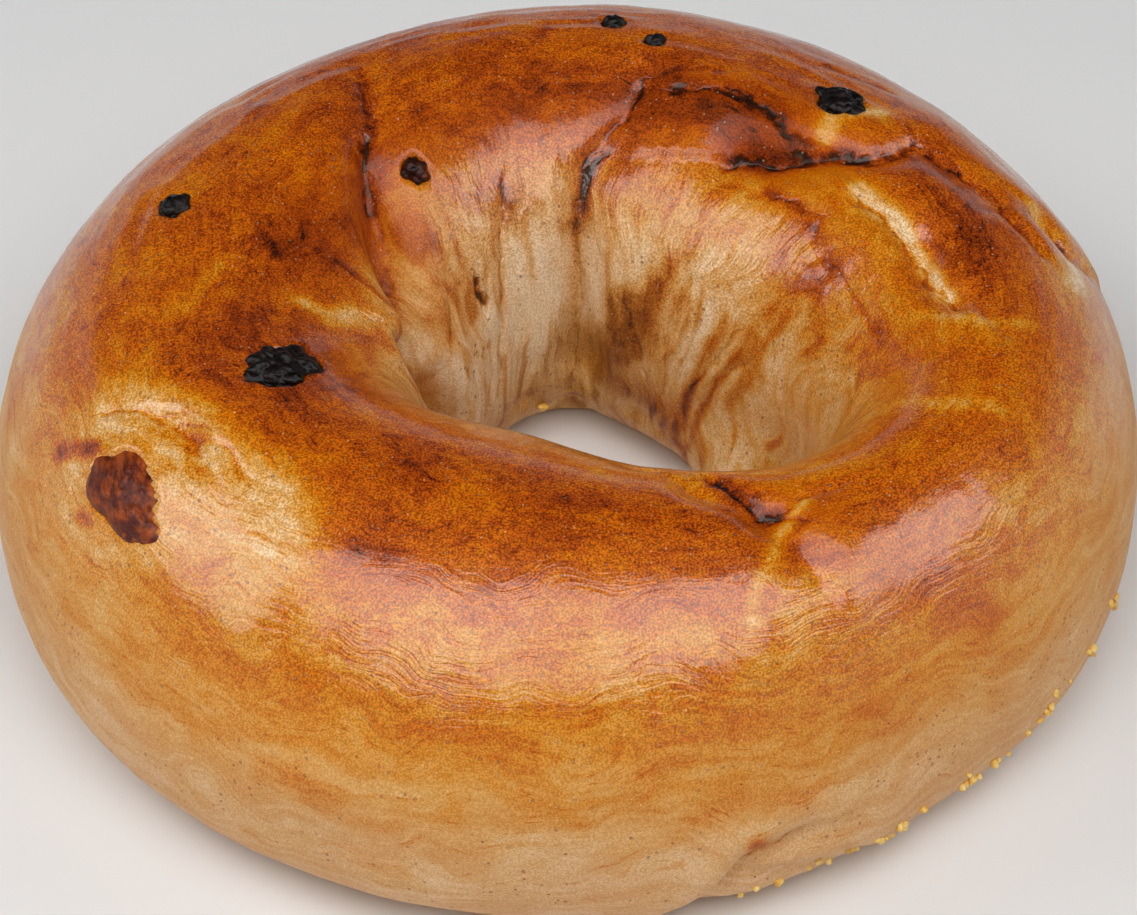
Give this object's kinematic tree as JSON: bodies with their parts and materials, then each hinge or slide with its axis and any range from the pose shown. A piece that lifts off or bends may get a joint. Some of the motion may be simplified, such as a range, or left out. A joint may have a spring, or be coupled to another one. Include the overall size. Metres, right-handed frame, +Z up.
{
  "type": "bagel",
  "caption": "Glossy raisin bagel: a plump hand-rolled ring of chestnut and golden crust, pleated into its hole, with dark raisins sunk in the top.",
  "frame": {"origin": "middle of the ring's outline, on the surface that it rests on", "axes": "+Z up through the hole, +X to the right and +Y to the back as seen in the picture"},
  "size_m": [0.1191, 0.1121, 0.0439],
  "materials": {
    "crust": "baked crust, glossy on top and matt at the base",
    "raisin": "dark wrinkled dried fruit",
    "raisin_red": "reddish brown dried fruit under a torn skin of crust"
  },
  "bodies": {
    "root": {"bagel": "crust", "raisin_crown": "raisin", "raisin_blister": "raisin_red", "raisin_rear": "raisin", "raisin_left": "raisin", "raisin_hole": "raisin", "raisin_back": "raisin", "raisin_back_small": "raisin"}
  },
  "joints": []
}
